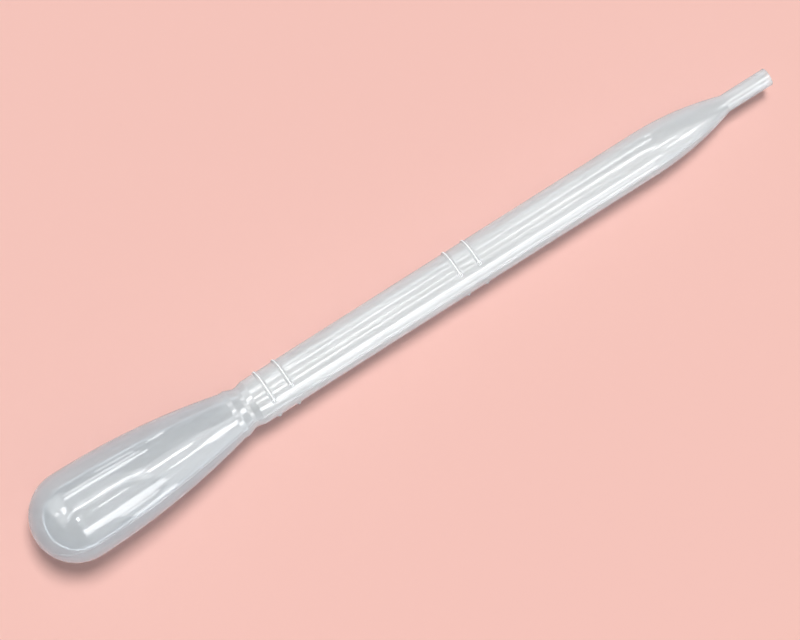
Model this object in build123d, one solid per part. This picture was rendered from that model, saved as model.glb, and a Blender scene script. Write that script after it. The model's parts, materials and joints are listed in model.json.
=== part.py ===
from build123d import *
import os
from math import asin, atan2, cos, degrees, radians, sin

# Dropper pipette, blow-moulded from one tube of low-density polyethylene.
# It lies on its side: +Z is up, +X points the way the tip points, and the
# origin is under the middle of the part, on the surface that it rests on.
# It is drawn with its axis on X and its bow in the XY plane, and then laid down.
# A station is a distance along the pipette's axis from the open end of the tip.
# All lengths are in millimetres and all angles in degrees.

# Whole pipette
overall_length = 210.0
body_wall = 0.6          # blown wall of the taper, barrel, neck and bulb

# Tip: the end of the tube, left unblown and cut square
tip_length = 12.8
tip_diameter = 4.6
tip_bore_diameter = 3.1

# Taper: swells from the tip tube to the barrel along one arc
taper_length = 23.5
taper_root_radius = 2.0  # hollow corner where the taper meets the tip tube

# Barrel
barrel_diameter = 11.8

# Neck: the groove and collar between barrel and bulb, measured from the barrel
groove_depth = 0.5
groove_front_width = 1.7
groove_floor_width = 0.9
groove_back_width = 2.1
collar_rise = 0.3
collar_width = 1.4
neck_edge_radius = 1.6   # rounds every corner of the neck

# Bulb: one long arc that ends in a hemisphere
bulb_diameter = 22.6
bulb_length = 54.7       # from its foot at the collar to its closed end

# Bow: the slight bend that the barrel took when it cooled, between its pairs of marks
bow_angle = 2.5
bow_to_mark = 2.0        # straight stretch between the bow and the next mark

# Volume marks: two pairs of raised part rings on the barrel, open on one side
last_mark_to_neck = 3.9
mark_pair_gap = 5.4      # between the two marks of a pair
mark_pair_pitch = 54.1   # between the two pairs
mark_width = 1.1
tip_pair_height = 0.28
neck_pair_height = 0.36
mark_start_angle = 80.0  # where each mark starts, round from the inside of the bow
mark_sweeps = [284.0, 284.0, 289.0, 299.0]

# Radii and stations that follow from the sizes above
tip_radius = tip_diameter / 2
barrel_radius = barrel_diameter / 2
groove_radius = barrel_radius - groove_depth
collar_radius = barrel_radius + collar_rise
bulb_radius = bulb_diameter / 2
taper_end = tip_length + taper_length
bulb_equator = overall_length - bulb_radius
bulb_foot = overall_length - bulb_length
collar_front = bulb_foot - collar_width
groove_back = collar_front - groove_back_width
groove_front = groove_back - groove_floor_width
barrel_end = groove_front - groove_front_width
last_mark = barrel_end - last_mark_to_neck
tip_pair_last = last_mark - mark_pair_pitch
mark_stations = [tip_pair_last - mark_pair_gap, tip_pair_last, last_mark - mark_pair_gap, last_mark]
mark_heights = [tip_pair_height, tip_pair_height, neck_pair_height, neck_pair_height]
bow_start = mark_stations[1] + bow_to_mark
bow_end = mark_stations[2] - bow_to_mark
bow_radius = (bow_end - bow_start) / radians(bow_angle)


def arc_radius(run, rise):
    """The radius of an arc that ends level after covering this run and rise."""
    return (run**2 + rise**2) / (2 * rise)


def axis_frame(station):
    """The frame of the axis at a station, with its own +X towards the tip."""
    turn = max(station - bow_start, 0) / bow_radius
    x = -min(station, bow_start) - bow_radius * sin(turn)
    y = -bow_radius * (1 - cos(turn))
    return Location((x, y, 0), (0, 0, degrees(turn)))


def front(inset, tube_radius):
    """Tip, taper and the barrel up to its bow, inset from the outside."""
    radius = barrel_radius - inset
    rim = Line((0, 0), (0, tube_radius))
    tube = Line(rim @ 1, (-tip_length, tube_radius))
    taper = TangentArc(tube @ 1, (-taper_end, radius), tangent=(1, 0), tangent_from_first=False)
    barrel = Line((-taper_end, radius), (-bow_start, radius))
    closing = Polyline(barrel @ 1, (-bow_start, 0), (0, 0))
    half = make_face(rim + tube + taper + barrel + closing)
    root = half.vertices().sort_by_distance((-tip_length, tube_radius))[0]
    return revolve(fillet(root, taper_root_radius), axis=Axis.X)


def bowed_barrel(inset):
    """The bent stretch of the barrel, turned about the centre of its bow."""
    start = Plane(origin=(-bow_start, 0, 0), z_dir=(-1, 0, 0))
    centre = Axis((-bow_start, -bow_radius, 0), (0, 0, 1))
    return revolve(start * Circle(barrel_radius - inset), axis=centre, revolution_arc=bow_angle)


def neck_corners(inset):
    """The corners of the groove and the collar, seen from the end of the bow."""
    corners = [
        (barrel_end, barrel_radius),
        (groove_front, groove_radius),
        (groove_back, groove_radius),
        (collar_front, collar_radius),
        (bulb_foot, collar_radius),
    ]
    return [(bow_end - station, radius - inset) for station, radius in corners]


def back(inset):
    """The barrel behind its bow, the neck and the bulb, inset from the outside."""
    corners = neck_corners(inset)
    equator = (bow_end - bulb_equator, bulb_radius - inset)
    start = Line((0, 0), (0, barrel_radius - inset))
    neck = Polyline(start @ 1, *corners)
    flank = TangentArc(corners[-1], equator, tangent=(1, 0), tangent_from_first=False)
    dome = TangentArc(equator, (equator[0] - equator[1], 0), tangent=(-1, 0))
    closing = Line(dome @ 1, (0, 0))
    half = make_face(start + neck + flank + dome + closing)
    edges = [half.vertices().sort_by_distance(corner)[0] for corner in corners]
    return axis_frame(bow_end) * revolve(fillet(edges, neck_edge_radius), axis=Axis.X)


def skin(inset, tube_radius):
    """Everything inside one skin of the pipette, from tip to bulb."""
    return front(inset, tube_radius) + bowed_barrel(inset) + back(inset)


def mark(station, height, sweep):
    """A raised part ring: a bead mostly sunk in the wall, round at both ends."""
    bead_radius = arc_radius(mark_width / 2, height)
    middle = (0, barrel_radius + height - bead_radius)
    ring = revolve(Pos(middle) * Circle(bead_radius), axis=Axis.X, revolution_arc=sweep)
    end = Pos(middle) * Sphere(bead_radius)
    turned = Rot(180 + mark_start_angle, 0, 0)
    return axis_frame(station) * turned * (ring + end + Rot(sweep, 0, 0) * end)


def rest_slope():
    """How far the tip points down when the taper and the bulb both touch down.

    The floor is the common tangent of the taper's arc and the bulb's long arc,
    on the outside of the bow.
    """
    taper_arc = arc_radius(taper_length, barrel_radius - tip_radius)
    flank_arc = arc_radius(bulb_equator - bulb_foot, bulb_radius - collar_radius)
    taper_centre = Vector(-taper_end, barrel_radius - taper_arc)
    flank_centre = (axis_frame(bulb_equator) * Pos(0, bulb_radius - flank_arc)).position
    step = flank_centre - taper_centre
    return degrees(asin((flank_arc - taper_arc) / step.length) + atan2(step.Y, -step.X))


def laid_down(shape):
    """The shape at rest on its side, with the origin under its middle.

    It has rolled until its bow hangs down, where its centre of mass is lowest.
    """
    rolled = Rot(-90, 0, 0) * shape
    lying = Rot(0, rest_slope(), 0) * rolled
    box = lying.bounding_box()
    return Pos(-box.center().X, -box.center().Y, -box.min.Z) * lying


def pipette():
    """The whole pipette: one hollow skin with its marks, open at the tip."""
    outside = skin(0, tip_radius)
    for station, height, sweep in zip(mark_stations, mark_heights, mark_sweeps):
        outside += mark(station, height, sweep)
    return laid_down(outside - skin(body_wall, tip_bore_diameter / 2))


os.makedirs("parts", exist_ok=True)
export_step(pipette(), "parts/pipette.step")
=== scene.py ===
# %% [markdown]
# # A blow-moulded dropper pipette
# The pipette is one thin, hollow skin of milky plastic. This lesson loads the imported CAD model,
# draws the skin again as a fine mesh round the same axis, gives it the look of low-density
# polyethylene, and lays it on a plain floor under soft studio light.
# The CAD model stays as the frame: it says where the pipette lies and how large it is.

# %% Load the frame
import json
from math import atan2, cos, degrees, hypot, pi, radians, sin, sqrt, tan

import bmesh
import bpy
from mathutils import Matrix, Vector, noise


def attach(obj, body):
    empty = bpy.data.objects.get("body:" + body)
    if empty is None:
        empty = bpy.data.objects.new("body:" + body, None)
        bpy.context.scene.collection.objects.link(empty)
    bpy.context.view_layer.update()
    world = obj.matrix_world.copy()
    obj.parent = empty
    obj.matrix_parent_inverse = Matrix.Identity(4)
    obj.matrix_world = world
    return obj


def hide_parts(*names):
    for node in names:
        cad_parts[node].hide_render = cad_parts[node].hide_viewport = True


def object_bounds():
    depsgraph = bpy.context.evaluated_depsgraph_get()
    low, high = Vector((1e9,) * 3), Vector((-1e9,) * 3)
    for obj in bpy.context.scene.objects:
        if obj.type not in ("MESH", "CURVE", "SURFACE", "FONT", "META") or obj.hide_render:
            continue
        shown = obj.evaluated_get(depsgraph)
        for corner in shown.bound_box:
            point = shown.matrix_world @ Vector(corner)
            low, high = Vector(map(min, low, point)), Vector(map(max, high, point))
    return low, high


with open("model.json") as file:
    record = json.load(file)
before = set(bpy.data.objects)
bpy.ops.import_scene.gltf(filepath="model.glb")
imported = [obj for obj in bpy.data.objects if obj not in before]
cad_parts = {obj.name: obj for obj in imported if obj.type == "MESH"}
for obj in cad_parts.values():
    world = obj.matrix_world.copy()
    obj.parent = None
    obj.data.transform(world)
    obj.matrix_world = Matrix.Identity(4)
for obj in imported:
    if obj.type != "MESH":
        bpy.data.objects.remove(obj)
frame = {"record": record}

cad_box = [list(corner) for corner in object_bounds()]
print("CAD box in mm:", [[round(1000 * v, 2) for v in corner] for corner in cad_box])

# %% [markdown]
# ## The axis that everything turns round
# A pipette is a round thing, so two numbers place every point of its outline: how far along the
# axis it is, and how far out. The distance along is called its station, counted from the open tip.
# The barrel hangs in a very slight bow between its two pairs of marks, so the axis is a line,
# then an arc of a large circle, then a line again. The record's mount on the tip says where the
# first line lies, and the CAD box says where it ends. Sizes are in millimetres.

# %% Find the axis
MM = 0.001
TIP_RADIUS = 2.3
BOW_START, BOW_END, BOW_ANGLE = 93.2, 137.9, radians(2.5)
BOW_RADIUS = (BOW_END - BOW_START) / BOW_ANGLE

tip_mount = next(m for m in frame["record"]["mounts"] if m["name"] == "tip_tube")
to_tip = Vector(tip_mount["axis"]).normalized()
side = Vector((0, 1, 0))
upward = to_tip.cross(side).normalized()
if upward.z < 0:
    upward.negate()
mount_middle = Vector(tip_mount["pos_m"]) / MM
rim_reach = cad_box[1][0] / MM - TIP_RADIUS * abs(to_tip.z)
tip_end = mount_middle + to_tip * (rim_reach - mount_middle.x) / to_tip.x


def axis_at(station):
    """The axis point at a station, in mm, with the directions to the tip and up from it."""
    turn = (min(max(station, BOW_START), BOW_END) - BOW_START) / BOW_RADIUS
    ahead = to_tip * cos(turn) - upward * sin(turn)
    up = upward * cos(turn) + to_tip * sin(turn)
    point = tip_end - to_tip * min(station, BOW_START)
    point += (upward * (1 - cos(turn)) - to_tip * sin(turn)) * BOW_RADIUS
    return point - ahead * max(station - BOW_END, 0), ahead, up


print("tip end in mm:", [round(v, 2) for v in tip_end])
print("towards the tip:", [round(v, 4) for v in to_tip])

# %% [markdown]
# ## The outline
# Half of the pipette's outline, turned round the axis, makes the whole skin. It could be a curve
# object, but a list of points lets every stretch have just the detail it needs: straight runs need
# few, the raised marks need many. Blown plastic can't follow a sharp corner of its mould, so each
# corner of the groove and collar becomes a small arc, and so does the root of the tip tube.

# %% Helpers for arcs
def level_arc(start, end, steps):
    """Points on the arc from start that is level where it meets end."""
    run, rise = end[0] - start[0], end[1] - start[1]
    radius = (run**2 + rise**2) / (2 * rise)
    stations = [start[0] + run * i / steps for i in range(steps + 1)]
    return [(x, end[1] - radius + sqrt(radius**2 - (end[0] - x) ** 2)) for x in stations]


def rounded(before, corner, after, radius, steps=10):
    """The arc that rounds a corner between the points before and after it."""
    before, corner, after = (Vector(p) for p in (before, corner, after))
    back, on = (before - corner).normalized(), (after - corner).normalized()
    half = back.angle(on) / 2
    centre = corner + (back + on).normalized() * radius / sin(half)
    first = corner + back * radius / tan(half) - centre
    last = corner + on * radius / tan(half) - centre
    sweep = first.angle(last)
    arc = []
    for i in range(steps + 1):
        t = i / steps
        arc.append(tuple(centre + (first * sin((1 - t) * sweep) + last * sin(t * sweep)) / sin(sweep)))
    return arc


print("a rounded corner takes", len(rounded((0, 0), (1, 0), (1, 1), 0.5)), "points")

# %% [markdown]
# The outside and the inside have the same outline, one wall apart. A raised mark is given here by
# the station of its middle, its height, and how many degrees it runs round the barrel. On the
# outside the outline has extra points across each mark, so that a bead only a millimetre wide is
# still smooth.

# %% Draw the outline
LENGTH, TIP_LENGTH, BORE_RADIUS = 210.0, 12.8, 1.55
BARREL_RADIUS, BULB_RADIUS, WALL = 5.9, 11.3, 0.6
TAPER_END, BARREL_END, EQUATOR = 36.3, 148.0, LENGTH - BULB_RADIUS
NECK = [(149.2, 5.9), (150.9, 5.4), (151.8, 5.4), (153.9, 6.2), (155.3, 6.2)]
NECK_EDGE, ROOT_EDGE = 1.6, 2.0
MARKS = [(85.8, 0.28, 284.0), (91.2, 0.28, 284.0), (139.9, 0.36, 289.0), (145.3, 0.36, 299.0)]
MARK_WIDTH = 1.1
TUBE_STATIONS = (3.0, 7.0, 10.0)
BARREL_STATIONS = range(40, 149, 4)
TAPER_STEPS, FLANK_STEPS, DOME_STEP = 48, 64, 3      # the last one in degrees
TAPER_JOIN, FLANK_JOIN = 2, 6      # the point of each long arc that the rounding before it aims at
FLANK_GAP = 0.3                    # how far past the rounded collar the flank's own points start
BEAD_STEPS, BEAD_REACH = 9, 0.6    # points on each half of a bead, and their reach in bead widths
BEAD_CLEAR = 1.0                   # how far from a mark's middle the even points stay away


def bead_points(barrel):
    """The stretch of barrel with marks: even points, and many across each mark."""
    points = [(station, barrel) for station in BARREL_STATIONS]
    points = [p for p in points if all(abs(p[0] - mark[0]) > BEAD_CLEAR for mark in MARKS)]
    for middle, _, _ in MARKS:
        for i in range(2 * BEAD_STEPS + 1):
            points.append((middle + MARK_WIDTH * (i / BEAD_STEPS - 1) * BEAD_REACH, barrel))
    return sorted(points)


def outline(inset, tube_radius, rim):
    """The half outline from the open tip to the closed end of the bulb, inset from the outside."""
    barrel, dome = BARREL_RADIUS - inset, BULB_RADIUS - inset
    taper = level_arc((TIP_LENGTH, tube_radius), (TAPER_END, barrel), TAPER_STEPS)
    points = rim + [(station, tube_radius) for station in TUBE_STATIONS]
    points += rounded((0.0, tube_radius), taper[0], taper[TAPER_JOIN], ROOT_EDGE)
    points += taper[TAPER_JOIN + 1:]
    points += bead_points(barrel) if inset == 0 else [(station, barrel) for station in BARREL_STATIONS]
    corners = [(station, radius - inset) for station, radius in NECK]
    flank = level_arc(corners[-1], (EQUATOR, dome), FLANK_STEPS)
    line = [(BARREL_END, barrel)] + corners + [flank[FLANK_JOIN]]
    for before, corner, after in zip(line, line[1:], line[2:]):
        points += rounded(before, corner, after, NECK_EDGE)
    points += [p for p in flank if p[0] > points[-1][0] + FLANK_GAP]
    for angle in range(DOME_STEP, 91, DOME_STEP):
        points.append((EQUATOR + dome * sin(radians(angle)), dome * cos(radians(angle))))
    return points


CUT_RIM_OUT = [(0.0, 2.1), (0.03, 2.23), (0.12, 2.29), (0.25, TIP_RADIUS), (0.6, TIP_RADIUS)]
CUT_RIM_IN = [(0.0, 1.75), (0.03, 1.62), (0.12, 1.56), (0.25, BORE_RADIUS), (0.6, BORE_RADIUS)]
outside = outline(0, TIP_RADIUS, CUT_RIM_OUT)
inside = outline(WALL, BORE_RADIUS, CUT_RIM_IN)
print("outline points:", len(outside), "outside and", len(inside), "inside")

# %% [markdown]
# ## What lifts the surface
# Four things lift or sink the plain turned surface. The volume marks are raised beads that run
# part of the way round. The two halves of the mould leave a fine ridge where they meet, a parting
# line, along both sides nearly to the end of the bulb. And a wall blown from a soft tube is never
# quite even, neither outside nor, still more, inside. They could be a bump in the material, but a
# bump leaves the outline as it is, and these show at the edges and bend what is seen through the
# wall. So they are in the mesh.

# %% The raised marks and the uneven wall
MARK_START = 80.0      # degrees from the top, where every mark begins
UNEVEN_ROUND, UNEVEN_ALONG = 5.0, 22.0      # how far apart the uneven places are, in mm
RIPPLE_SHARE, RIPPLE_SCALE = 0.4, 2.3       # a smaller, finer wander on top of the first


def mark_height(station, angle):
    """How far the marks lift the surface at a station and an angle in degrees."""
    lift = 0.0
    for middle, height, sweep in MARKS:
        along = station - middle
        if abs(along) > MARK_WIDTH / 2:
            continue
        past = (angle - MARK_START) % 360 - sweep
        beyond = 0.0 if past <= 0 else radians(min(past, 360 - sweep - past)) * BARREL_RADIUS
        bead = (MARK_WIDTH**2 / 4 + height**2) / (2 * height)
        away = hypot(along, beyond)
        if away < MARK_WIDTH / 2:
            lift = max(lift, sqrt(bead**2 - away**2) - bead + height)
    return lift


def unevenness(station, angle, radius, start):
    """A smooth wander between about -1 and 1 over the surface, different for each start."""
    a = radians(angle)
    spot = Vector((radius * cos(a) / UNEVEN_ROUND, radius * sin(a) / UNEVEN_ROUND,
                   station / UNEVEN_ALONG + start))
    return noise.noise(spot) + RIPPLE_SHARE * noise.noise(spot * RIPPLE_SCALE)


print("a mark stands", round(mark_height(MARKS[0][0], 180.0), 2), "mm above the barrel")

# %% [markdown]
# ## The skin as one mesh
# Each outline point becomes a ring of points round the axis, and neighbouring rings are joined by
# four-sided faces. The Screw modifier turns an outline as well, but it can't follow the bow or
# lift single points, so the rings are worked out here. They have extra points beside the parting
# line, because its ridge is much finer than the even steps round the pipette. Each point also
# keeps where it would be on a straight, unbent pipette, for the material to use.

# %% Columns of points round the axis
TURNS = 168
PARTING_ANGLE, PARTING_HEIGHT = 46.0, 0.09      # degrees from the top, in the gap of the marks, and mm
PARTING_FLANK = ((-1.5, 0.0), (-0.75, 0.55), (0.75, 0.55), (1.5, 0.0))      # degrees, share of the height

columns = []
for i in range(TURNS):
    on_parting = i % (TURNS // 2) == 0
    columns.append((PARTING_ANGLE + 360 * i / TURNS, 1.0 if on_parting else 0.0))
for opposite in (0, 180):
    for offset, share in PARTING_FLANK:
        columns.append((PARTING_ANGLE + opposite + offset, share))
columns = sorted(((angle - PARTING_ANGLE) % 360 + PARTING_ANGLE, share) for angle, share in columns)
print("points in a ring:", len(columns))

# %% Helper for the rings
UNEVEN_OUTSIDE, UNEVEN_INSIDE = 0.018, 0.035
WANDER_OUTSIDE, WANDER_INSIDE = 3.7, 11.2      # two starts, so that the two sides wander apart
PLAIN_RIM, RIM_FADE = 3.0, 6.0                 # the cut rim stays round, and the rest fades in
PLAIN_END, END_FADE = 0.3, 2.0                 # and fades out at the very end of the bulb


def lathe(outline_points, is_outside):
    """Rings of points round the axis, with where each point lies on an unbent pipette."""
    turned, straight = [], []
    for i, (station, radius) in enumerate(outline_points):
        centre, ahead, up = axis_at(station)
        before = outline_points[max(i - 1, 0)]
        after = outline_points[min(i + 1, len(outline_points) - 1)]
        slope = atan2(after[1] - before[1], after[0] - before[0])
        from_rim = max(station - PLAIN_RIM, 0.0) / RIM_FADE
        from_end = max(LENGTH - PLAIN_END - station, 0.0) / END_FADE
        fade = min(from_rim, 1.0, from_end)
        for angle, share in columns:
            out = up * cos(radians(angle)) - side * sin(radians(angle))
            normal = out * cos(slope) + ahead * sin(slope)
            if is_outside:
                lift = mark_height(station, angle) + PARTING_HEIGHT * share * fade
                lift += UNEVEN_OUTSIDE * fade * unevenness(station, angle, radius, WANDER_OUTSIDE)
            else:
                lift = UNEVEN_INSIDE * fade * unevenness(station, angle, radius, WANDER_INSIDE)
            turned.append((centre + out * radius + normal * lift) * MM)
            straight.append((station, radius * cos(radians(angle)), radius * sin(radians(angle))))
    return turned, straight


print("the wall wanders by about", UNEVEN_OUTSIDE, "mm outside and", UNEVEN_INSIDE, "mm inside")

# %% [markdown]
# The mesh starts at the closed end of the bulb's inside, runs forward through the bore to the cut
# rim of the tip, and comes back along the outside. So it is one closed solid with a real wall,
# and light bends and passes through it as through the real one.

# %% Make the rings and faces
around = len(columns)
inner, inner_straight = lathe(inside[:-1], False)
outer, outer_straight = lathe(outside[:-1], True)
inner_rings = [inner[i:i + around] for i in range(0, len(inner), around)][::-1]
inner_places = [inner_straight[i:i + around] for i in range(0, len(inner), around)][::-1]
points = [p for ring in inner_rings for p in ring] + outer
unbent = [p for ring in inner_places for p in ring] + outer_straight
rings = len(points) // around

faces = []
for ring in range(rings - 1):
    this, following = ring * around, (ring + 1) * around
    for i in range(around):
        j = (i + 1) % around
        faces.append((this + i, this + j, following + j, following + i))
for end, ring, flip in ((inside[-1], 0, False), (outside[-1], rings - 1, True)):
    points.append(axis_at(end[0])[0] * MM)
    unbent.append((end[0], 0.0, 0.0))
    pole = len(points) - 1
    for i in range(around):
        a, b = ring * around + i, ring * around + (i + 1) % around
        faces.append((a, b, pole) if flip else (b, a, pole))
print("rings:", rings, "faces:", len(faces))

# %% Make the mesh and measure it
mesh = bpy.data.meshes.new("pipette_skin")
mesh.from_pydata(points, [], faces)
mesh.polygons.foreach_set("use_smooth", [True] * len(mesh.polygons))
straight_place = mesh.attributes.new("unbent", "FLOAT_VECTOR", "POINT")
straight_place.data.foreach_set("vector", [value for p in unbent for value in p])
skin = bpy.data.objects.new("pipette_skin", mesh)
bpy.context.scene.collection.objects.link(skin)

solid = bmesh.new()
solid.from_mesh(mesh)
if solid.calc_volume(signed=True) < 0:
    bmesh.ops.reverse_faces(solid, faces=solid.faces)
    solid.to_mesh(mesh)
open_edges = sum(1 for edge in solid.edges if len(edge.link_faces) != 2)
print("plastic in mm3:", round(abs(solid.calc_volume()) * 1e9), "open edges:", open_edges)
print("triangles:", sum(len(face.verts) - 2 for face in solid.faces))
solid.free()

# %% [markdown]
# ## The material: milky low-density polyethylene
# Disposable pipettes are blown from low-density polyethylene, LDPE, with no pigment. Its
# half-crystalline grains scatter a little light and bend the rest through, so it looks like thin
# milk: you see into it, but not clearly through it, and what it scatters is slightly blue.
# A volume that scatters inside the wall would be the truest way, but it is slow and the wall is
# thin. So the shader lets a little over half of the light through each of the wall's two faces
# and scatters the rest. The faces are smooth, because they cooled against air or polished steel.

# %% Helpers for materials
def srgb(code):
    """A hex colour turned to the linear numbers that a shader takes."""
    parts = [int(code[i:i + 2], 16) / 255 for i in (0, 2, 4)]
    return [c / 12.92 if c <= 0.04045 else ((c + 0.055) / 1.055) ** 2.4 for c in parts] + [1.0]


def add(tree, kind, links=None, **settings):
    """A new node with its settings, and with its sockets linked or set."""
    node = tree.nodes.new(kind)
    for name, value in settings.items():
        setattr(node, name, value)
    for name, value in (links or {}).items():
        if isinstance(value, bpy.types.NodeSocket):
            tree.links.new(value, node.inputs[name])
        else:
            node.inputs[name].default_value = value
    return node


def empty_material(name):
    """A material with that name and no nodes yet."""
    material = bpy.data.materials.new(name)
    material.use_nodes = True
    material.node_tree.nodes.clear()
    return material


print("mid grey 808080 is", round(srgb("808080")[0], 3), "of white in linear numbers")

# %% [markdown]
# Not every stretch of the pipette looks the same, so the material first asks how far along the
# skin is. The bulb was blown out to nearly twice the width of the barrel. That makes its plastic
# thinner, so it scatters less, and it spreads out the lines that the plastic was drawn with. On
# the taper the mould squeezed the tube narrower and its polished steel pressed the lines flat, and
# the plastic looks a little less white there too. The mesh has an even wall, so it is left to the
# material to show these differences.

# %% Which stretch of the pipette it is
BARREL_TO_BULB = (147.0, 158.0)      # between these stations the look of the barrel turns to the bulb's
TAPER_TO_LINES = (34.0, 41.0)        # between these the lines set in
TAPER_TO_MILK = (24.0, 40.0)         # and between these the milk gets as white as the barrel's
BULB_SHARE, TAPER_LINES, TAPER_MILK = 0.3, 0.1, 0.72      # of the lines and milk of the barrel

ldpe = empty_material("milky_ldpe_blow_moulded")
plastic = ldpe.node_tree
skin_place = add(plastic, "ShaderNodeAttribute", attribute_name="unbent")
skin_station = add(plastic, "ShaderNodeSeparateXYZ", {"Vector": skin_place.outputs["Vector"]})
from_bulb = add(plastic, "ShaderNodeMapRange", {
    "Value": skin_station.outputs["X"],
    "From Min": BARREL_TO_BULB[0], "From Max": BARREL_TO_BULB[1], "To Min": 1.0, "To Max": BULB_SHARE,
})
lines_from_tip = add(plastic, "ShaderNodeMapRange", {
    "Value": skin_station.outputs["X"],
    "From Min": TAPER_TO_LINES[0], "From Max": TAPER_TO_LINES[1], "To Min": TAPER_LINES, "To Max": 1.0,
})
milk_from_tip = add(plastic, "ShaderNodeMapRange", {
    "Value": skin_station.outputs["X"],
    "From Min": TAPER_TO_MILK[0], "From Max": TAPER_TO_MILK[1], "To Min": TAPER_MILK, "To Max": 1.0,
})
lines_share = add(plastic, "ShaderNodeMath", {
    0: from_bulb.outputs["Result"], 1: lines_from_tip.outputs["Result"],
}, operation="MINIMUM")
milk_share = add(plastic, "ShaderNodeMath", {
    0: from_bulb.outputs["Result"], 1: milk_from_tip.outputs["Result"],
}, operation="MINIMUM")
print("share of the barrel's lines and milk: bulb", BULB_SHARE, "taper", TAPER_LINES, "and", TAPER_MILK)

# %% [markdown]
# The soft tube that the pipette was blown from was squeezed through a ring-shaped die, and tiny
# nicks in the die drew fine lines along it, hundredths of a millimetre deep. Smooth plastic shows
# them as thin bright and dark stripes in every reflection. As grooves in the mesh they would take
# millions of faces, so a bump makes them, from noise that is stretched along the pipette. The real
# lines are about half a millimetre apart, which is too fine to show, so they are drawn 1.4 mm
# apart. A second, even noise gives the faint orange peel of a blown surface.

# %% Die lines and orange peel
DIE_LINE_GAP, DIE_LINE_LENGTH, DIE_LINE_DEPTH = 1.4, 120.0, 0.04      # in mm
PEEL_SIZE, PEEL_DEPTH = 1.6, 0.004                                    # in mm

# A bright line and a dark one take two steps of noise, so one gap is two steps.
die_place = add(plastic, "ShaderNodeVectorMath", {
    0: skin_place.outputs["Vector"], 1: (1 / DIE_LINE_LENGTH, 2 / DIE_LINE_GAP, 2 / DIE_LINE_GAP),
}, operation="MULTIPLY")
die_lines = add(plastic, "ShaderNodeTexNoise", {
    "Vector": die_place.outputs[0], "Scale": 1.0, "Detail": 0.0,
})
peel_place = add(plastic, "ShaderNodeVectorMath", {
    0: skin_place.outputs["Vector"], 1: (1 / PEEL_SIZE,) * 3,
}, operation="MULTIPLY")
peel = add(plastic, "ShaderNodeTexNoise", {
    "Vector": peel_place.outputs[0], "Scale": 1.0, "Detail": 1.0,
})
lines_bump = add(plastic, "ShaderNodeBump", {
    "Height": die_lines.outputs["Fac"],
    "Strength": lines_share.outputs[0], "Distance": DIE_LINE_DEPTH * MM,
})
peel_bump = add(plastic, "ShaderNodeBump", {
    "Height": peel.outputs["Fac"], "Strength": 1.0, "Distance": PEEL_DEPTH * MM,
    "Normal": lines_bump.outputs["Normal"],
})
print("die lines are", DIE_LINE_GAP, "mm apart, and the peel is", PEEL_SIZE, "mm wide")

# %% [markdown]
# The milk itself is a little cloudy, in streaks that were drawn out along the pipette. The thick
# wall of the barrel scatters more, so it is nearly white. The thin wall of the bulb scatters less
# and is a cool grey. Roughness is low and the IOR is that of polyethylene, so the wall keeps sharp
# reflections, which is what tells the eye that it is smooth and not frosted.

# %% Milky LDPE
CLOUD_LENGTH, CLOUD_WIDTH = 30.0, 4.0      # in mm

cloud_place = add(plastic, "ShaderNodeVectorMath", {
    0: skin_place.outputs["Vector"], 1: (1 / CLOUD_LENGTH, 1 / CLOUD_WIDTH, 1 / CLOUD_WIDTH),
}, operation="MULTIPLY")
cloud = add(plastic, "ShaderNodeTexNoise", {
    "Vector": cloud_place.outputs[0], "Scale": 1.0, "Detail": 3.0,
})
thin = add(plastic, "ShaderNodeMix", {
    "Factor": cloud.outputs["Fac"], "A": srgb("cfd4d9"), "B": srgb("dbdfe2"),
}, data_type="RGBA")
thick = add(plastic, "ShaderNodeMix", {
    "Factor": cloud.outputs["Fac"], "A": srgb("e6e9ea"), "B": srgb("f1f3f4"),
}, data_type="RGBA")
milk = add(plastic, "ShaderNodeMix", {
    "Factor": milk_share.outputs[0], "A": thin.outputs["Result"], "B": thick.outputs["Result"],
}, data_type="RGBA")
milky_wall = add(plastic, "ShaderNodeBsdfPrincipled", {
    "Base Color": milk.outputs["Result"], "Roughness": 0.02, "IOR": 1.51, "Transmission Weight": 0.52,
    "Normal": peel_bump.outputs["Normal"],
})
add(plastic, "ShaderNodeOutputMaterial", {"Surface": milky_wall.outputs["BSDF"]})
skin.data.materials.append(ldpe)
print("material:", ldpe.name, "with", len(plastic.nodes), "nodes")

# %% [markdown]
# The crest of each mark is painted as a highlight: an opaque, matt white plastic that lets no
# light in stands for the thin bright line of light that the raised bead catches along its top.
# The edge of the mark's far end is painted the same way, as a small highlight ring.

# %% Matt crests of the marks, painted as a highlight
SPECKLES_PER_MM = 6.0      # a faint speckle in the painted white; at this size it shows close up

# Painted highlight: this opaque white stands for the light that a mark's crest and far-end ring catch.
crest_highlight = empty_material("matt_ldpe_painted_highlight")
crest_highlight_nodes = crest_highlight.node_tree
crest_place = add(crest_highlight_nodes, "ShaderNodeAttribute", attribute_name="unbent")
speckle = add(crest_highlight_nodes, "ShaderNodeTexNoise", {
    "Vector": crest_place.outputs["Vector"], "Scale": SPECKLES_PER_MM, "Detail": 2.0,
})
white = add(crest_highlight_nodes, "ShaderNodeMix", {
    "Factor": speckle.outputs["Fac"], "A": srgb("f6f9fa"), "B": srgb("fefefe"),
}, data_type="RGBA")
crest_highlight_bsdf = add(crest_highlight_nodes, "ShaderNodeBsdfPrincipled", {
    "Base Color": white.outputs["Result"], "Roughness": 0.3, "IOR": 1.51,
})
add(crest_highlight_nodes, "ShaderNodeOutputMaterial", {"Surface": crest_highlight_bsdf.outputs["BSDF"]})
skin.data.materials.append(crest_highlight)
print("material:", crest_highlight.name, "with", len(crest_highlight_nodes.nodes), "nodes")

# %% [markdown]
# Both plastics are on one mesh, because the real marks are one piece with the wall. Each face
# asks how high it stands on its mark and how far it is from the middle of the mark's far end,
# and takes the painted white highlight if it is near the top or near the edge of that end.

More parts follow.
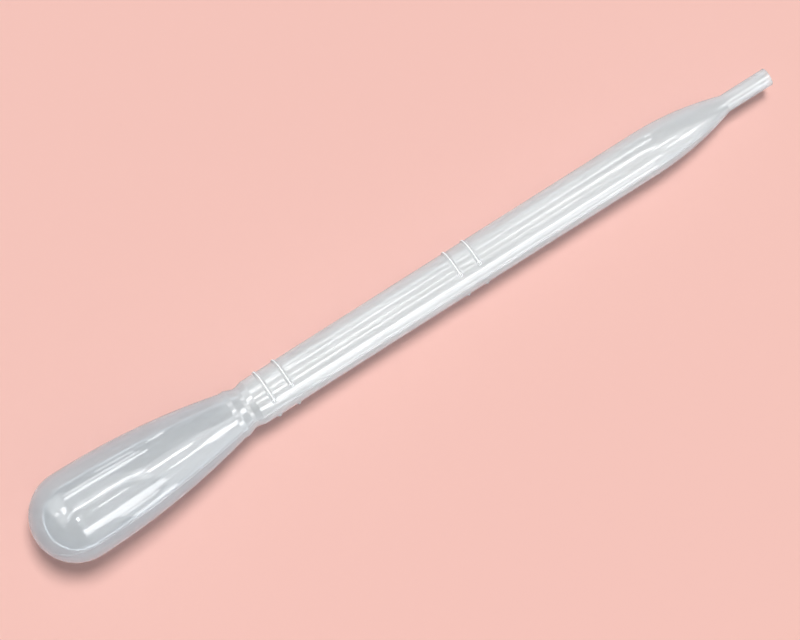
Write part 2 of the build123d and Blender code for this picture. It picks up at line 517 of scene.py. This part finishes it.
# %% Give the crests and far-end rings their painted highlight
CREST_DEPTH = 0.025                      # how far below its top a mark still takes the painted highlight, in mm
RING_INNER, RING_OUTER = 0.65, 1.0       # the painted highlight ring round a mark's far end, in half widths of the mark

crests = 0
for face in mesh.polygons:
    station, up_part, side_part = (
        sum(unbent[v][k] for v in face.vertices) / len(face.vertices) for k in range(3))
    middle, height, sweep = min(MARKS, key=lambda mark: abs(mark[0] - station))
    angle = degrees(atan2(side_part, up_part)) % 360
    raised = mark_height(station, angle)
    on_inside = hypot(up_part, side_part) < BARREL_RADIUS - WALL / 2
    if on_inside or raised == 0:
        continue
    past_end = (angle - MARK_START - sweep + 180) % 360 - 180
    from_far_end = hypot(station - middle, radians(past_end) * BARREL_RADIUS) / (MARK_WIDTH / 2)
    # These faces are painted with the white highlight.
    if raised > height - CREST_DEPTH or RING_INNER < from_far_end < RING_OUTER:
        face.material_index = 1
        crests += 1
print("faces on the crests:", crests)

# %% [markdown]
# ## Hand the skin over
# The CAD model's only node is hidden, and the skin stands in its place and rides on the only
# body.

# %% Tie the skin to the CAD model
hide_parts("pipette")
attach(skin, "root")
print("the skin has", len(skin.data.materials), "materials")

# %% [markdown]
# ## The floor
# The pipette lies on a plain sheet of pale pink paper. The camera, reflections and the clear part
# of the plastic see the paper's own colour. For scattered light it counts as a cool grey, so that
# it doesn't tint the milky wall, and the pipette still throws its soft shadow on it.

# %% Floor
FLOOR_REACH = 6.0      # in metres from the middle, so that no edge shows

paper = empty_material("pale_pink_paper")
sheet = paper.node_tree
ray = add(sheet, "ShaderNodeLightPath")
seen_or_mirrored = add(sheet, "ShaderNodeMath", {
    0: ray.outputs["Is Camera Ray"], 1: ray.outputs["Is Glossy Ray"],
}, operation="ADD")
seen_at_all = add(sheet, "ShaderNodeMath", {
    0: seen_or_mirrored.outputs[0], 1: ray.outputs["Is Transmission Ray"],
}, operation="ADD", use_clamp=True)
tint = add(sheet, "ShaderNodeMix", {
    "Factor": seen_at_all.outputs[0], "A": srgb("b0c6d4"), "B": srgb("f7c6bd"),
}, data_type="RGBA")
matte = add(sheet, "ShaderNodeBsdfDiffuse", {"Color": tint.outputs["Result"]})
add(sheet, "ShaderNodeOutputMaterial", {"Surface": matte.outputs["BSDF"]})

corners = [(FLOOR_REACH * x, FLOOR_REACH * y, 0) for x, y in ((-1, -1), (1, -1), (1, 1), (-1, 1))]
floor_mesh = bpy.data.meshes.new("floor")
floor_mesh.from_pydata(corners, [], [(0, 1, 2, 3)])
floor_mesh.materials.append(paper)
floor = bpy.data.objects.new("floor", floor_mesh)
bpy.context.scene.collection.objects.link(floor)
print("floor:", 2 * FLOOR_REACH, "m wide")

# %% [markdown]
# ## The light
# A smooth, clear-skinned thing is drawn by what it mirrors, so the light is a tent with chosen
# bright places. The tent is dim above and has a bright, slightly cool band just over the horizon,
# and it is brighter on the -Y side than on the +Y side. The sides of the pipette mirror the band,
# and light from so low only grazes the floor, so it draws the sides and hardly lights the floor.

# %% Tent
HORIZON_BAND, TENT_DIM, TENT_TOP = 6.2, 0.25, 0.32      # how bright each height of the tent is
BELOW_BAND = 0.3
NEAR_SIDE, FAR_SIDE = 1.38, 0.62
BAND_COOLNESS, TENT_COOLNESS = 0.07, 0.02               # how far blue is raised and red lowered

tent = bpy.data.worlds.new("light_tent")
bpy.context.scene.world = tent
tent.use_nodes = True
sky = tent.node_tree
sky.nodes.clear()
direction = add(sky, "ShaderNodeTexCoord")
height_and_side = add(sky, "ShaderNodeSeparateXYZ", {"Vector": direction.outputs["Generated"]})
glow = add(sky, "ShaderNodeValToRGB", {"Fac": height_and_side.outputs["Z"]})
stops = [
    (0.0, BELOW_BAND), (0.012, BELOW_BAND), (0.02, HORIZON_BAND), (0.072, HORIZON_BAND),
    (0.085, TENT_DIM), (0.3, TENT_DIM), (0.4, TENT_TOP), (1.0, TENT_TOP),
]
while len(glow.color_ramp.elements) < len(stops):
    glow.color_ramp.elements.new(0.5)
for stop, (position, value) in zip(glow.color_ramp.elements, stops):
    stop.position = position
    cool = BAND_COOLNESS if value == HORIZON_BAND else TENT_COOLNESS
    stop.color = ((1 - cool) * value, value, (1 + cool) * value, 1.0)
by_side = add(sky, "ShaderNodeMapRange", {
    "Value": height_and_side.outputs["Y"],
    "From Min": -1.0, "From Max": 1.0, "To Min": NEAR_SIDE, "To Max": FAR_SIDE,
})
tent_light = add(sky, "ShaderNodeBackground", {
    "Color": glow.outputs["Color"], "Strength": by_side.outputs["Result"],
})
add(sky, "ShaderNodeOutputWorld", {"Surface": tent_light.outputs["Background"]})
print("the tent has", len(stops), "stops from the horizon up")

# %% [markdown]
# A tube mirrors a lamp as a long stripe, so each lamp is placed by where its stripe should run,
# with two angles: across, from straight up towards -Y, and along, towards the tip. The straight
# barrel mirrors what stands about 7 to 14 degrees along. Slopes mirror places further off: the
# taper and the bulb's flank towards the tip, the bulb's dome away from it. Each lamp is named for
# what mirrors it, or for its side where that is the barrel. The lamps show only in reflections and
# through the plastic, so they don't change how bright the floor is. Three large, dim sheets give
# the grey sheen between the stripes.

# %% Where the lamps stand
LAMPS = [
    # name, across from and to, along from and to, brightness
    ("front_wide", (37, 53), (-7, 17), 8.0),
    ("front_dim_upper", (53, 59), (7.2, 14), 4.5),
    ("front_middle", (60, 65), (7.2, 14), 7.5),
    ("front_dim_lower", (67, 77), (7.2, 14), 2.5),
    ("front_low", (79, 85), (7.2, 14), 8.0),
    ("top_front", (6, 9), (7, 13), 11.0),
    ("top_back", (-17.5, -13.5), (-7, 14), 9.0),
    ("back_wide", (-54, -48), (-5, 17), 9.0),
    ("back_middle", (-63, -59), (-3, 15), 7.0),
    ("back_low", (-74, -70), (7, 13), 5.0),
    ("back_lowest", (-84, -81), (7, 13), 5.0),
    ("flank_front", (26, 31), (20, 27), 11.0),
    ("flank_wide", (22, 40), (27, 32.5), 10.0),
    ("flank_top", (-2, 4), (17, 26), 12.0),
    ("flank_neck", (27, 32), (32.5, 38), 10.0),
    ("flank_sheet", (-12, 80), (17, 40), 2.9),
    ("body_sheet", (-62, 78), (-6, 17), 1.5),
    ("tube_top", (-12, -6), (14.8, 17), 7.0),
    ("tube_back", (-80, -73), (15, 17.5), 8.0),
    ("dome_back", (-36, -22), (-26, -15), 8.0),
    ("dome_top", (3, 10), (-6, 0), 16.0),
    ("dome_far", (-39, -31), (-43, -35), 6.0),
    ("dome_sheet", (-74, -4), (-48, -8), 3.0),
    ("neck_top", (-4, 16), (48, 54), 9.0),
    ("neck_front", (34, 44), (48, 54), 9.0),
    ("neck_back", (-46, -38), (48, 54), 9.0),
]
print("lamps:", len(LAMPS))

# %% Hang the lamps
LAMP_DISTANCE = 3.5      # in metres


def softbox(name, across, along, brightness):
    """A flat lamp that fills the given ranges of angles, in degrees, as seen from the pipette."""
    a, b = (radians(sum(pair) / 2) for pair in (across, along))
    tall, wide = (2 * LAMP_DISTANCE * tan(radians(abs(pair[1] - pair[0])) / 2) for pair in (across, along))
    data = bpy.data.lights.new(name, "AREA")
    data.shape = "RECTANGLE"
    data.size, data.size_y = wide, tall
    data.energy = brightness * pi * wide * tall
    lamp = bpy.data.objects.new(name, data)
    lamp.visible_diffuse = False
    bpy.context.scene.collection.objects.link(lamp)
    towards = Vector((sin(b), -sin(a) * cos(b), cos(a) * cos(b)))
    level = (Vector((1, 0, 0)) - towards * towards.x).normalized()
    turned = Matrix((level, towards.cross(level), towards)).transposed().to_4x4()
    lamp.matrix_world = Matrix.Translation(towards * LAMP_DISTANCE) @ turned
    print(name, "is", round(wide, 2), "by", round(tall, 2), "m")


for lamp_settings in LAMPS:
    softbox(*lamp_settings)

# %% [markdown]
# The soft key light stands high on the +Y side, throws the shadow towards -Y and gives most of
# the light that the floor and the milk scatter. It is a little warm, against the cool band of the
# tent, so that the floor keeps its colour. It doesn't show in reflections, where it would be a
# second set of stripes.

# %% Key light
KEY_STRENGTH, KEY_COLOUR, KEY_WIDTH = 2.2, (1.0, 0.98, 0.955), radians(18)
KEY_FROM = Vector((0.165, 0.325, 1.0)).normalized()

key = bpy.data.lights.new("key", "SUN")
key.energy = KEY_STRENGTH
key.color = KEY_COLOUR
key.angle = KEY_WIDTH
key_lamp = bpy.data.objects.new("key", key)
key_lamp.visible_glossy = False
bpy.context.scene.collection.objects.link(key_lamp)
key_lamp.matrix_world = KEY_FROM.to_track_quat("Z", "Y").to_matrix().to_4x4()
print("the key stands", round(degrees(KEY_FROM.angle(Vector((0, 0, 1))))), "degrees from straight up")

# %% [markdown]
# ## The camera
# The camera looks down from well above. It leans a little towards the bulb and a little to the +Y
# side, and is rolled so that the pipette runs from the lower left to the upper right of the
# picture. The lens is worked out from how wide a stretch of the floor should fill the picture.

# %% Camera
CAMERA_DISTANCE, SENSOR_WIDTH = 0.73, 36.0      # in metres, and in mm
LEAN_TO_BULB, LEAN_TO_SIDE, CAMERA_ROLL = radians(7.0), radians(4.0), radians(32.35)
FIELD_WIDTH = 192.123                           # in mm, how much the picture takes in
AIM_STATION, AIM_SIDE = 108.58, -2.2            # in mm
CLIP_NEAR, CLIP_FAR = 0.05, 30.0                # in metres

lean = LEAN_TO_BULB - atan2(-to_tip.z, to_tip.x)
view = Vector((-sin(lean) * cos(LEAN_TO_SIDE), sin(LEAN_TO_SIDE), cos(lean) * cos(LEAN_TO_SIDE)))
picture_along = (to_tip - view * to_tip.dot(view)).normalized()
picture_away = view.cross(picture_along)
picture_right = picture_along * cos(CAMERA_ROLL) - picture_away * sin(CAMERA_ROLL)
picture_up = picture_along * sin(CAMERA_ROLL) + picture_away * cos(CAMERA_ROLL)
aim = (axis_at(AIM_STATION)[0] + side * AIM_SIDE) * MM

lens = bpy.data.cameras.new("camera")
lens.sensor_width = SENSOR_WIDTH
lens.lens = SENSOR_WIDTH * CAMERA_DISTANCE / (FIELD_WIDTH * MM)
lens.clip_start, lens.clip_end = CLIP_NEAR, CLIP_FAR
camera = bpy.data.objects.new("camera", lens)
bpy.context.scene.collection.objects.link(camera)
camera_turn = Matrix((picture_right, picture_up, view)).transposed().to_4x4()
camera.matrix_world = Matrix.Translation(aim + view * CAMERA_DISTANCE) @ camera_turn
bpy.context.scene.camera = camera
bpy.context.scene.view_settings.view_transform = "Standard"
print("lens in mm:", round(lens.lens, 1))
